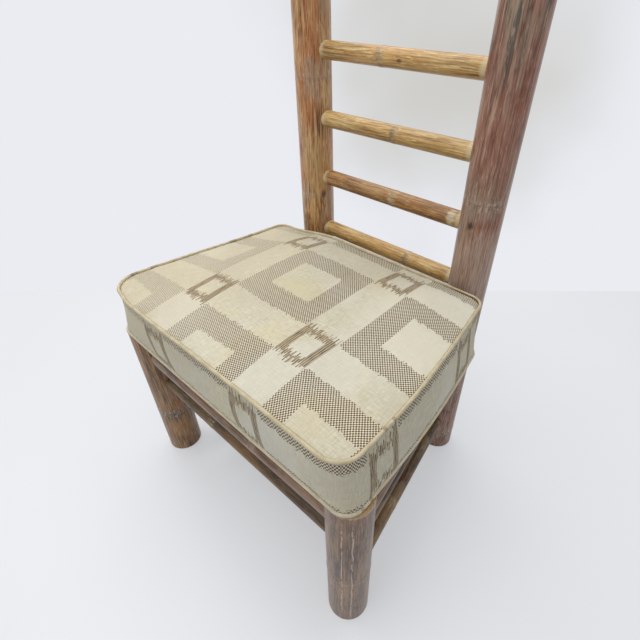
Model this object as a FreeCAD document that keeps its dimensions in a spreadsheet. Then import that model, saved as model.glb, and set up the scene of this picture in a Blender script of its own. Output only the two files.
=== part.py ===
import FreeCAD, Part
import math
import os

# A ladderback dining chair of round rattan poles with a loose box cushion.
# Millimetres, Z up, front towards -Y, origin on the floor under the middle of the chair.

SIZES = {
    # plan of the frame, between pole centres
    "leg_spread": 513,
    "post_spread": 369,
    "seat_depth": 400,
    # upright poles
    "leg_diameter": 69,
    "rim_edge": 2,
    "post_diameter": 67,
    "post_top_rise": 65.5,
    "post_top_edge": 3,
    # seat rails
    "rail_diameter": 45,
    "rail_tenon_diameter": 20,
    "front_rail_height": 280,
    "side_rail_drop": 16,
    # stretchers
    "stretcher_diameter": 28,
    "stretcher_tenon_diameter": 15,
    "front_stretcher_drop": 69,
    "middle_stretcher_drop": 74,
    "lower_stretcher_diameter": 26,
    "lower_stretcher_height": 88,
    # ladder rungs
    "rung_diameter": 29.5,
    "rung_tenon_diameter": 15,
    "first_rung_rise": 89,
    "rung_pitch": 110.3,
    # coped shoulders and blind mortises
    "tenon_length": 20,
    "tenon_gap": 0.2,
    "mortise_end_gap": 0.8,
    "cut_overrun": 6,
    # growth rings of the poles
    "ring_rise": 0.5,
    "ring_reach": 8,
    "left_leg_ring_height": 122,
    "right_leg_ring_height": 146,
    "post_ring_height": 48,
    # bearers and board under the cushion
    "bearer_width": 45,
    "bearer_height": 31.5,
    "bearer_post_gap": 3.5,
    "bearer_end_reach": 14,
    "bearer_saddle": 8,
    "bearer_edge": 2,
    "deck_thickness": 18,
    "deck_front_reach": 22,
    "deck_post_gap": 28.5,
    "deck_front_inset": 6.5,
    "deck_back_side_reach": 29.5,
    "deck_leg_gap": 1,
    "deck_corner": 12,
    # countersunk screws
    "screw_diameter": 4.5,
    "screw_head_diameter": 9,
    "screw_head_depth": 3,
    "screw_tip_diameter": 1.1,
    "screw_point_depth": 5,
    "screw_gap": 0.1,
    "deck_screw_length": 38,
    "deck_screw_inset": 36,
    "bearer_screw_length": 45,
    # cushion: how far the centre lines of its two welts stand out from the poles
    "top_front_reach": 39.5,
    "top_post_gap": 20.5,
    "top_front_side_reach": 21,
    "top_back_side_reach": 56,
    "bottom_front_reach": 34.5,
    "bottom_post_gap": 18,
    "bottom_front_side_reach": 28,
    "bottom_back_side_reach": 62,
    "front_corner_radius": 30,
    "back_corner_radius": 22,
    "boxing_height": 101.7,
    "boxing_swell": 2.5,
    "crown_height": 13,
    "welt_diameter": 8,
    "soft_gap": 0.3,
}

LEFT = -1
RIGHT = 1

# frame positions worked out from the plan sizes
ORIGIN_SHIFT = ("(Sizes.seat_depth + Sizes.post_diameter / 2 - Sizes.top_front_reach"
                " - Sizes.welt_diameter / 2) / 2")
LEG_Y = f"(-{ORIGIN_SHIFT})"
POST_Y = f"(Sizes.seat_depth - {ORIGIN_SHIFT})"
SPLAY = "(Sizes.leg_spread - Sizes.post_spread) / 2"
SLANT = f"atan({SPLAY} / Sizes.seat_depth)"
SIDE_SPAN = f"sqrt(Sizes.seat_depth ^ 2 + ({SPLAY}) ^ 2)"
SIDE_RAIL_HEIGHT = "(Sizes.front_rail_height - Sizes.side_rail_drop)"
FRONT_STRETCHER_HEIGHT = "(Sizes.front_rail_height - Sizes.front_stretcher_drop)"
MIDDLE_STRETCHER_HEIGHT = f"({SIDE_RAIL_HEIGHT} - Sizes.middle_stretcher_drop)"
BEARER_BOTTOM = "(Sizes.front_rail_height + Sizes.rail_diameter / 2 - Sizes.bearer_saddle)"
BEARER_X = ("(Sizes.post_spread / 2 - Sizes.post_diameter / 2"
            " - Sizes.bearer_post_gap - Sizes.bearer_width / 2)")
DECK_BOTTOM = f"({BEARER_BOTTOM} + Sizes.bearer_height)"
LEG_HEIGHT = f"({DECK_BOTTOM} + Sizes.deck_thickness)"
DECK_FRONT = f"({LEG_Y} - Sizes.deck_front_reach)"
DECK_BACK = f"({POST_Y} - Sizes.post_diameter / 2 - Sizes.deck_post_gap)"

RUNG_COUNT = 6
RUNG_RING_SHARES = (0.65, 0.54, 0.52, 0.425, 0.58, 0.43)
STRETCHER_RING_SHARE = 0.36
RAIL_RING_SHARE = 0.63
# crown of the cushion: share of its reach in from the welt, share of its height;
# that reach is itself a share of the seat's depth
CROWN_SHARES = ((0.16, 0.4), (0.5, 0.83), (1, 1))
CROWN_REACH_SHARE = 0.2625
CROWN_CORNER_SHARE = 0.25
BOTTOM_EDGE_SHARE = 2.2

doc = FreeCAD.newDocument("LadderbackChair")


def make_sheet():
    sheet = doc.addObject("Spreadsheet::Sheet", "Sizes")
    for row, (alias, value) in enumerate(SIZES.items(), start=1):
        sheet.set(f"A{row}", alias)
        sheet.set(f"B{row}", str(value))
        sheet.setAlias(f"B{row}", alias)
    doc.recompute()
    return sheet


def bind(feature, **expressions):
    for name, expression in expressions.items():
        feature.setExpression(name, expression)
    return feature


def spot(x, y, z):
    return f"create(<<placement>>; create(<<vector>>; {x}; {y}; {z}); create(<<rotation>>; 0; 0; 0))"


def aimed(x, y, z, heading):
    """Placement that turns a piece's own Z axis level, towards a heading in plan."""
    turn = f"create(<<rotation>>; create(<<vector>>; 0; 0; 1); {heading})"
    tip = "create(<<rotation>>; create(<<vector>>; 0; 1; 0); 90 deg)"
    return f"create(<<placement>>; create(<<vector>>; {x}; {y}; {z}); {turn} * {tip})"


def make_body(label, placement):
    body = doc.addObject("PartDesign::Body", label)
    body.Label = label
    body.setExpression("Placement", placement)
    return body


def ease_edges(body, feature, edges, size):
    doc.recompute()
    chamfer = body.newObject("PartDesign::Chamfer", "Eased")
    chamfer.Base = (feature, edges)
    bind(chamfer, Size=size)
    return chamfer


def circle_edges_at(feature, height):
    """Names of the full circles of a standing pole at one height."""
    return [f"Edge{n}" for n, edge in enumerate(feature.Shape.Edges, start=1)
            if edge.BoundBox.ZLength < edge.Length / 1000
            and abs(edge.BoundBox.ZMin - height) < edge.Length / 1000]


def add_ring(body, radius, height):
    """Low ridge round a pole: two shallow cones, widest where they meet."""
    widest = f"{radius} + Sizes.ring_rise"
    for start, low, high in ((f"{height} - Sizes.ring_reach", radius, widest),
                             (height, widest, radius)):
        cone = body.newObject("PartDesign::AdditiveCone", "Ring")
        bind(cone, Radius1=low, Radius2=high, Height="Sizes.ring_reach",
             Placement=spot(0, 0, start))


# upright poles

def bore_mortise(body, pole_radius, tenon_diameter, height, heading):
    """Blind round mortise from near the pole's heart out through its skin."""
    start = f"({pole_radius} - Sizes.tenon_length - Sizes.mortise_end_gap)"
    cut = body.newObject("PartDesign::SubtractiveCylinder", "Mortise")
    bind(cut,
         Radius=f"{tenon_diameter} / 2 + Sizes.tenon_gap",
         Height="Sizes.tenon_length + Sizes.mortise_end_gap + Sizes.cut_overrun",
         Placement=aimed(f"{start} * cos({heading})", f"{start} * sin({heading})", height, heading))


def make_pole(label, placement, diameter, height, ring_height, top_edge):
    """Sawn pole standing on its foot, with both rims eased."""
    body = make_body(label, placement)
    pole = body.newObject("PartDesign::AdditiveCylinder", "Pole")
    bind(pole, Radius=f"{diameter} / 2", Height=height)
    doc.recompute()
    eased = ease_edges(body, pole, circle_edges_at(pole, 0), "Sizes.rim_edge")
    doc.recompute()
    ease_edges(body, eased, circle_edges_at(eased, eased.Shape.BoundBox.ZMax), top_edge)
    add_ring(body, f"{diameter} / 2", ring_height)
    return body


def inward(side):
    return "180 deg" if side == RIGHT else "0 deg"


def slanted(side, base):
    return f"({base} + {side} * {SLANT})"


def bore_side_mortises(body, pole_radius, side, base):
    heading = slanted(side, base)
    bore_mortise(body, pole_radius, "Sizes.rail_tenon_diameter", SIDE_RAIL_HEIGHT, heading)
    for height in (MIDDLE_STRETCHER_HEIGHT, "Sizes.lower_stretcher_height"):
        bore_mortise(body, pole_radius, "Sizes.stretcher_tenon_diameter", height, heading)


def make_front_leg(side, name):
    radius = "Sizes.leg_diameter / 2"
    body = make_pole(f"front_leg_{name}", spot(f"{side} * Sizes.leg_spread / 2", LEG_Y, 0),
                     "Sizes.leg_diameter", LEG_HEIGHT,
                     f"Sizes.{name}_leg_ring_height", "Sizes.rim_edge")
    bore_mortise(body, radius, "Sizes.rail_tenon_diameter", "Sizes.front_rail_height", inward(side))
    bore_mortise(body, radius, "Sizes.stretcher_tenon_diameter",
                 FRONT_STRETCHER_HEIGHT, inward(side))
    bore_side_mortises(body, radius, side, "90 deg")
    return body


def rung_height(index):
    return f"({LEG_HEIGHT} + Sizes.first_rung_rise + {index} * Sizes.rung_pitch)"


def make_back_post(side, name):
    radius = "Sizes.post_diameter / 2"
    body = make_pole(f"back_post_{name}", spot(f"{side} * Sizes.post_spread / 2", POST_Y, 0),
                     "Sizes.post_diameter", f"{rung_height(RUNG_COUNT - 1)} + Sizes.post_top_rise",
                     "Sizes.post_ring_height", "Sizes.post_top_edge")
    bore_mortise(body, radius, "Sizes.rail_tenon_diameter", "Sizes.front_rail_height", inward(side))
    bore_mortise(body, radius, "Sizes.stretcher_tenon_diameter",
                 FRONT_STRETCHER_HEIGHT, inward(side))
    for index in range(RUNG_COUNT):
        bore_mortise(body, radius, "Sizes.rung_tenon_diameter", rung_height(index), inward(side))
    bore_side_mortises(body, radius, side, "270 deg")
    return body


# level poles with coped shoulders and round tenons

def cope_end(body, pole_radius, bar_diameter, z):
    """Fish-mouth shoulder that wraps the upright pole at one end of a level bar."""
    cut = body.newObject("PartDesign::SubtractiveCylinder", "Cope")
    half = f"({bar_diameter} / 2 + Sizes.cut_overrun)"
    bind(cut, Radius=f"{pole_radius} + Sizes.tenon_gap", Height=f"2 * {half}",
         Placement=aimed(f"-{half}", 0, z, "0 deg"))


def add_tenon(body, tenon_diameter, z):
    tenon = body.newObject("PartDesign::AdditiveCylinder", "Tenon")
    bind(tenon, Radius=f"{tenon_diameter} / 2",
         Height=f"Sizes.tenon_length + {tenon_diameter} / 2", Placement=spot(0, 0, z))


def make_bar(label, placement, span, diameter, tenon_diameter, start_radius, end_radius, ring):
    """Level pole from one upright's centre line to the next, shouldered on both."""
    body = make_body(label, placement)
    bar = body.newObject("PartDesign::AdditiveCylinder", "Bar")
    bind(bar, Radius=f"{diameter} / 2", Height=span)
    cope_end(body, start_radius, diameter, "0")
    cope_end(body, end_radius, diameter, span)
    add_tenon(body, tenon_diameter, f"{start_radius} - Sizes.tenon_length")
    add_tenon(body, tenon_diameter, f"{span} - {end_radius} - {tenon_diameter} / 2")
    add_ring(body, f"{diameter} / 2", f"{span} * {ring}")
    return body


def make_front_bar(label, height, diameter, tenon_diameter, ring):
    radius = "Sizes.leg_diameter / 2"
    return make_bar(label, aimed("-Sizes.leg_spread / 2", LEG_Y, height, "0 deg"),
                    "Sizes.leg_spread", diameter, tenon_diameter, radius, radius, ring)


def make_back_bar(label, height, diameter, tenon_diameter, ring):
    radius = "Sizes.post_diameter / 2"
    return make_bar(label, aimed("-Sizes.post_spread / 2", POST_Y, height, "0 deg"),
                    "Sizes.post_spread", diameter, tenon_diameter, radius, radius, ring)


def make_side_bar(label, side, height, diameter, tenon_diameter, ring):
    placement = aimed(f"{side} * Sizes.leg_spread / 2", LEG_Y, height, slanted(side, "90 deg"))
    return make_bar(label, placement, SIDE_SPAN, diameter, tenon_diameter,
                    "Sizes.leg_diameter / 2", "Sizes.post_diameter / 2", ring)


def make_rails():
    sizes = ("Sizes.rail_diameter", "Sizes.rail_tenon_diameter")
    rails = [make_front_bar("seat_rail_front", "Sizes.front_rail_height", *sizes, RAIL_RING_SHARE),
             make_back_bar("seat_rail_back", "Sizes.front_rail_height", *sizes, RAIL_RING_SHARE)]
    for side, name in ((LEFT, "left"), (RIGHT, "right")):
        rails.append(make_side_bar(f"seat_rail_{name}", side, SIDE_RAIL_HEIGHT,
                                   *sizes, RAIL_RING_SHARE))
    for rail in rails[:2]:
        drill_rail(rail)
    return rails


def make_stretchers():
    sizes = ("Sizes.stretcher_diameter", "Sizes.stretcher_tenon_diameter")
    lower = ("Sizes.lower_stretcher_diameter", "Sizes.stretcher_tenon_diameter")
    bars = [make_front_bar("front_stretcher", FRONT_STRETCHER_HEIGHT,
                           *sizes, STRETCHER_RING_SHARE),
            make_back_bar("back_stretcher", FRONT_STRETCHER_HEIGHT,
                          *sizes, STRETCHER_RING_SHARE)]
    for side, name in ((LEFT, "left"), (RIGHT, "right")):
        bars.append(make_side_bar(f"middle_stretcher_{name}", side,
                                  MIDDLE_STRETCHER_HEIGHT, *sizes, RAIL_RING_SHARE))
        bars.append(make_side_bar(f"lower_stretcher_{name}", side,
                                  "Sizes.lower_stretcher_height", *lower, STRETCHER_RING_SHARE))
    return bars


def make_rungs():
    return [make_back_bar(f"ladder_rung_{index + 1}", rung_height(index), "Sizes.rung_diameter",
                          "Sizes.rung_tenon_diameter", RUNG_RING_SHARES[index])
            for index in range(RUNG_COUNT)]


# bearers, board and screws

def bearer_screw_places():
    return [(f"{side} * {BEARER_X}", y) for side in (LEFT, RIGHT) for y in (LEG_Y, POST_Y)]


def deck_screw_rows():
    """Near the board's front edge, half way, and near its back edge."""
    return (f"({DECK_FRONT} + Sizes.deck_screw_inset)", f"(({DECK_FRONT} + {DECK_BACK}) / 2)",
            f"({DECK_BACK} - Sizes.deck_screw_inset)")


def deck_screw_places():
    return [(f"{side} * {BEARER_X}", y) for side in (LEFT, RIGHT) for y in deck_screw_rows()]


def drill_screw(body, x, y, top, length):
    """Countersunk hole that a screw fits, in a body whose own axes stand upright."""
    hole = body.newObject("PartDesign::SubtractiveCylinder", "ScrewHole")
    bind(hole, Radius="Sizes.screw_diameter / 2 + Sizes.screw_gap",
         Height=f"{length} + Sizes.screw_gap",
         Placement=spot(x, y, f"{top} - {length} - Sizes.screw_gap"))
    sink = body.newObject("PartDesign::SubtractiveCone", "Countersink")
    bind(sink, Radius1="Sizes.screw_diameter / 2 + Sizes.screw_gap",
         Radius2="Sizes.screw_head_diameter / 2 + Sizes.screw_gap",
         Height="Sizes.screw_head_depth",
         Placement=spot(x, y, f"{top} - Sizes.screw_head_depth"))


def drill_rail(rail):
    """Pilot holes, in the bar's own axes: its length is Z and its top is towards -X."""
    start = (f"({DECK_BOTTOM} - Sizes.bearer_screw_length - Sizes.screw_gap"
             " - Sizes.front_rail_height)")
    spread = "Sizes.leg_spread" if rail.Label == "seat_rail_front" else "Sizes.post_spread"
    for side in (LEFT, RIGHT):
        hole = rail.newObject("PartDesign::SubtractiveCylinder", "Pilot")
        bind(hole, Radius="Sizes.screw_diameter / 2 + Sizes.screw_gap",
             Height="Sizes.bearer_screw_length",
             Placement=aimed(f"-{start}", 0, f"{spread} / 2 + {side} * {BEARER_X}", "180 deg"))


def make_bearer(side, name):
    """Squared bearer, saddled over the round front and back rails."""
    length = "(Sizes.seat_depth + 2 * Sizes.bearer_end_reach)"
    body = make_body(f"seat_bearer_{name}", spot(f"{side} * {BEARER_X}", LEG_Y, BEARER_BOTTOM))
    box = body.newObject("PartDesign::AdditiveBox", "Bearer")
    bind(box, Length="Sizes.bearer_width", Width=length, Height="Sizes.bearer_height",
         Placement=spot("-Sizes.bearer_width / 2", "-Sizes.bearer_end_reach", 0))
    doc.recompute()
    long_edges = [f"Edge{n}" for n, edge in enumerate(box.Shape.Edges, start=1)
                  if edge.BoundBox.YLength > edge.Length / 2]
    ease_edges(body, box, long_edges, "Sizes.bearer_edge")
    half = "(Sizes.bearer_width / 2 + Sizes.cut_overrun)"
    for y in (0, "Sizes.seat_depth"):
        saddle = body.newObject("PartDesign::SubtractiveCylinder", "Saddle")
        bind(saddle, Radius="Sizes.rail_diameter / 2 + Sizes.tenon_gap", Height=f"2 * {half}",
             Placement=aimed(f"-{half}", y, f"Sizes.front_rail_height - {BEARER_BOTTOM}", "0 deg"))
        drill_screw(body, 0, y, "Sizes.bearer_height", "Sizes.bearer_screw_length")
    for y in deck_screw_rows():
        hole = body.newObject("PartDesign::SubtractiveCylinder", "Pilot")
        bind(hole, Radius="Sizes.screw_diameter / 2 + Sizes.screw_gap",
             Height="Sizes.deck_screw_length",
             Placement=spot(0, f"{y} - {LEG_Y}",
                            "Sizes.bearer_height + Sizes.deck_thickness"
                            " - Sizes.deck_screw_length - Sizes.screw_gap"))
    return body


def make_deck():
    """Board between the legs, tapered in plan like the seat, flush with the leg tops."""
    half_front = "(Sizes.leg_spread / 2 - Sizes.deck_front_inset)"
    half_back = "(Sizes.post_spread / 2 + Sizes.deck_back_side_reach)"
    body = make_body("seat_deck", spot(0, 0, 0))
    board = body.newObject("PartDesign::AdditiveWedge", "Board")
    bind(board, Xmin=f"-{half_front}", Xmax=half_front, X2min=f"-{half_back}", X2max=half_back,
         Ymin=DECK_FRONT, Ymax=DECK_BACK,
         Zmin=DECK_BOTTOM, Zmax=LEG_HEIGHT, Z2min=DECK_BOTTOM, Z2max=LEG_HEIGHT)
    doc.recompute()
    back = board.Shape.BoundBox.YMax
    corners = [f"Edge{n}" for n, edge in enumerate(board.Shape.Edges, start=1)
               if edge.BoundBox.ZLength > edge.Length / 2
               and abs(edge.BoundBox.YMin - back) < edge.Length / 1000]
    ease_edges(body, board, corners, "Sizes.deck_corner")
    for side in (LEFT, RIGHT):
        notch = body.newObject("PartDesign::SubtractiveCylinder", "LegNotch")
        bind(notch, Radius="Sizes.leg_diameter / 2 + Sizes.deck_leg_gap",
             Height="Sizes.deck_thickness + 2 * Sizes.cut_overrun",
             Placement=spot(f"{side} * Sizes.leg_spread / 2", LEG_Y,
                            f"{DECK_BOTTOM} - Sizes.cut_overrun"))
    for x, y in deck_screw_places():
        drill_screw(body, x, y, LEG_HEIGHT, "Sizes.deck_screw_length")
    return body


def make_screws(label, places, top, length):
    """One group of equal screws: each a head cone, a shank and a point."""
    parts = []
    for x, y in places:
        shank_length = f"({length} - Sizes.screw_head_depth - Sizes.screw_point_depth)"
        head = doc.addObject("Part::Cone", "Head")
        bind(head, Radius1="Sizes.screw_diameter / 2", Radius2="Sizes.screw_head_diameter / 2",
             Height="Sizes.screw_head_depth",
             Placement=spot(x, y, f"{top} - Sizes.screw_head_depth"))
        shank = doc.addObject("Part::Cylinder", "Shank")
        bind(shank, Radius="Sizes.screw_diameter / 2", Height=shank_length,
             Placement=spot(x, y, f"{top} - Sizes.screw_head_depth - {shank_length}"))
        point = doc.addObject("Part::Cone", "Point")
        bind(point, Radius1="Sizes.screw_tip_diameter / 2", Radius2="Sizes.screw_diameter / 2",
             Height="Sizes.screw_point_depth", Placement=spot(x, y, f"{top} - {length}"))
        parts += [head, shank, point]
    group = doc.addObject("Part::MultiFuse", label)
    group.Label = label
    group.Shapes = parts
    return group


# cushion and its welts

def frame_numbers(sheet):
    """Soft pieces read the sheet in code, because their outlines are worked out point by point."""
    size = {alias: float(sheet.get(alias)) for alias in SIZES}
    shift = (size["seat_depth"] + size["post_diameter"] / 2 - size["top_front_reach"]
             - size["welt_diameter"] / 2) / 2
    size["crown_reach"] = size["seat_depth"] * CROWN_REACH_SHARE
    size["leg_y"] = -shift
    size["post_face_y"] = size["seat_depth"] - shift - size["post_diameter"] / 2
    size["deck_top"] = (size["front_rail_height"] + size["rail_diameter"] / 2
                        - size["bearer_saddle"] + size["bearer_height"] + size["deck_thickness"])
    size["bottom_welt_z"] = size["deck_top"] + size["soft_gap"] + size["welt_diameter"] / 2
    size["top_welt_z"] = size["bottom_welt_z"] + size["boxing_height"]
    return size


def rounded_loop(corners, radii, z):
    """Closed wire through the corners, each rounded, starting half way along the last side."""
    edges = []
    count = len(corners)
    points = [FreeCAD.Vector(x, y, z) for x, y in corners]
    start = (points[-1] + points[0]) * 0.5
    pen = start
    for index, corner in enumerate(points):
        into = (points[index - 1] - corner).normalize()
        out = (points[(index + 1) % count] - corner).normalize()
        half = into.getAngle(out) / 2
        reach = radii[index] / math.tan(half)
        bisector = (into + out).normalize()
        near = corner + bisector * (radii[index] / math.sin(half) - radii[index])
        edges.append(Part.LineSegment(pen, corner + into * reach).toShape())
        edges.append(Part.Arc(corner + into * reach, near, corner + out * reach).toShape())
        pen = corner + out * reach
    edges.append(Part.LineSegment(pen, start).toShape())
    return Part.Wire(edges)


def cushion_plan(size, level, inset):
    """Corners and radii of the cushion at one share of its boxing height, moved in from the welt."""
    def blend(name):
        return size["bottom_" + name] * (1 - level) + size["top_" + name] * level
    front = size["leg_y"] - blend("front_reach")
    back = size["post_face_y"] - blend("post_gap")
    half_front = size["leg_spread"] / 2 + blend("front_side_reach")
    half_back = size["post_spread"] / 2 + blend("back_side_reach")
    slope = (half_back - half_front) / (back - front)
    sideways = inset * math.hypot(1, slope)
    y_front = front + inset
    y_back = back - inset
    x_front = half_front + slope * inset - sideways
    x_back = half_back - slope * inset - sideways
    grow = CROWN_CORNER_SHARE * abs(inset)
    corners = ((x_back, y_back), (x_front, y_front), (-x_front, y_front), (-x_back, y_back))
    back_radius = size["back_corner_radius"] + grow
    front_radius = size["front_corner_radius"] + grow
    return corners, (back_radius, front_radius, front_radius, back_radius)


def cushion_section(size, level, inset, z):
    corners, radii = cushion_plan(size, level, inset)
    return rounded_loop(corners, radii, z)


def make_cushion(size):
    """Box cushion: flat bottom, swelling boxing drawn in at both welts, and a crowned top."""
    seam = size["welt_diameter"] / 2 + size["soft_gap"]
    low, high = size["bottom_welt_z"], size["top_welt_z"]
    sections = [(0, seam * BOTTOM_EDGE_SHARE, size["deck_top"] + size["soft_gap"]),
                (0, seam, low)]
    for share in (0.25, 0.5, 0.75):
        swell = size["boxing_swell"] * math.sin(math.pi * share)
        sections.append((share, seam - swell, low + size["boxing_height"] * share))
    sections.append((1, seam, high))
    for inset_share, rise_share in CROWN_SHARES:
        sections.append((1, seam + size["crown_reach"] * inset_share,
                         high + size["crown_height"] * rise_share))
    wires = [cushion_section(size, *section) for section in sections]
    feature = doc.addObject("Part::Feature", "seat_cushion")
    feature.Label = "seat_cushion"
    feature.Shape = Part.makeLoft(wires, True, True)
    return feature


def make_welt(label, size, level, z):
    """Piped cord along the cushion's edge, one closed tube."""
    path = cushion_section(size, level, 0, z)
    start = path.OrderedEdges[0].firstVertex(True).Point
    ring = Part.Circle(start, FreeCAD.Vector(1, 0, 0), size["welt_diameter"] / 2)
    tube = path.makePipeShell([Part.Wire([ring.toShape()])], True, True)
    feature = doc.addObject("Part::Feature", label)
    feature.Label = label
    feature.Shape = tube
    return feature


def build_all(sheet):
    nodes = []
    for side, name in ((LEFT, "left"), (RIGHT, "right")):
        nodes.append(make_front_leg(side, name))
        nodes.append(make_back_post(side, name))
    nodes += make_rails() + make_stretchers() + make_rungs()
    nodes += [make_bearer(LEFT, "left"), make_bearer(RIGHT, "right"), make_deck()]
    nodes.append(make_screws("bearer_screws", bearer_screw_places(), DECK_BOTTOM,
                             "Sizes.bearer_screw_length"))
    nodes.append(make_screws("deck_screws", deck_screw_places(), LEG_HEIGHT,
                             "Sizes.deck_screw_length"))
    size = frame_numbers(sheet)
    nodes.append(make_cushion(size))
    nodes.append(make_welt("cushion_welt_bottom", size, 0, size["bottom_welt_z"]))
    nodes.append(make_welt("cushion_welt_top", size, 1, size["top_welt_z"]))
    return nodes


def check(nodes):
    for item in doc.Objects:
        if "Invalid" in item.State or "Error" in item.State:
            raise RuntimeError(f"{item.Label}: {item.State}")
    for node in nodes:
        if node.Shape.isNull() or not node.Shape.isValid():
            raise RuntimeError(f"{node.Label}: bad shape")


nodes = build_all(make_sheet())
doc.recompute()
check(nodes)
os.makedirs("parts", exist_ok=True)
for node in nodes:
    node.Shape.exportStep(f"parts/{node.Label}.step")
    print(node.Label, len(node.Shape.Solids), round(node.Shape.Volume))
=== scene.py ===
import math

import bpy
import numpy as np
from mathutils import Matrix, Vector, noise


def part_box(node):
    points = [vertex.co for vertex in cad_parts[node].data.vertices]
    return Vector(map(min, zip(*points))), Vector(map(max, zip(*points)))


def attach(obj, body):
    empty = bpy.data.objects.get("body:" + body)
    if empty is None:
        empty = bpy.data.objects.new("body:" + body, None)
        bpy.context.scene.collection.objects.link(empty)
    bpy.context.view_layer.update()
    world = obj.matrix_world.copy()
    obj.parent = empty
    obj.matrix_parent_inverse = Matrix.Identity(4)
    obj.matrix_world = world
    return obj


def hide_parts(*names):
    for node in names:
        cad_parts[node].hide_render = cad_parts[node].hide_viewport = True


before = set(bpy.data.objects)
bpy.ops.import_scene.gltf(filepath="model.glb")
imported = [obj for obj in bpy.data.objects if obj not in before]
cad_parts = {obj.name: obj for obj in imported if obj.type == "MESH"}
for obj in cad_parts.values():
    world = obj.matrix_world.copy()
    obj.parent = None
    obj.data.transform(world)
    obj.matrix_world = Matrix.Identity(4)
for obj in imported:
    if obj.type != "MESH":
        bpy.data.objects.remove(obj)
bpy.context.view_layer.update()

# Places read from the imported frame, in metres

def centre(node):
    low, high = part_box(node)
    return (low + high) / 2


LEG_X = centre("front_leg_right").x
LEG_Y = centre("front_leg_right").y
POST_X = centre("back_post_right").x
POST_Y = centre("back_post_right").y
DECK_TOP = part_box("seat_deck")[1].z
SLANT = math.atan2(LEG_X - POST_X, POST_Y - LEG_Y)

POLE_RADIUS = 0.0335
RUNG_RADIUS = 0.01475

WELT_RADIUS = 0.0030
BOTTOM_WELT_Z = DECK_TOP + WELT_RADIUS + 0.0003
TOP_WELT_Z = centre("cushion_welt_top").z
CROWN = 0.013
# Gap that keeps the cloth off the board
REST_GAP = 0.0004

# Outline of the two welts' centre lines: front reach ahead of the legs, depth, front and back width
TOP_PLAN = (0.0395, 0.3855, 0.555, 0.481)
BOTTOM_PLAN = (0.0345, 0.383, 0.569, 0.493)
# Radius of the front corners at the bottom and the top welt; the left one is worn rounder
RIGHT_CORNER = (0.024, 0.030)
LEFT_CORNER = (0.031, 0.043)
BACK_CORNER = 0.022
# How far the right side bows out, and how far the left edge sags at its front and its back
BOW = 0.0095
SAG = (0.004, 0.020)
# How far the left front corner is drawn in at the top, across and backwards, and how far round
# it that is felt
CORNER_PULL = (0.006, 0.011)
CORNER_REACH = 0.09
# Where in the noise field the drift along X, Y and Z is read. mathutils' noise_vector isn't used,
# because it is seeded by the clock
DRIFT_PLACES = (Vector((-33.5, -6.2, -10.4)), Vector((-38.2, 9.9, -2.9)), Vector((-1.4, 26.4, 9.8)))

# Greatest slow drift of the cover and its piping
DRIFT = 0.0032


# Node graphs

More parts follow.
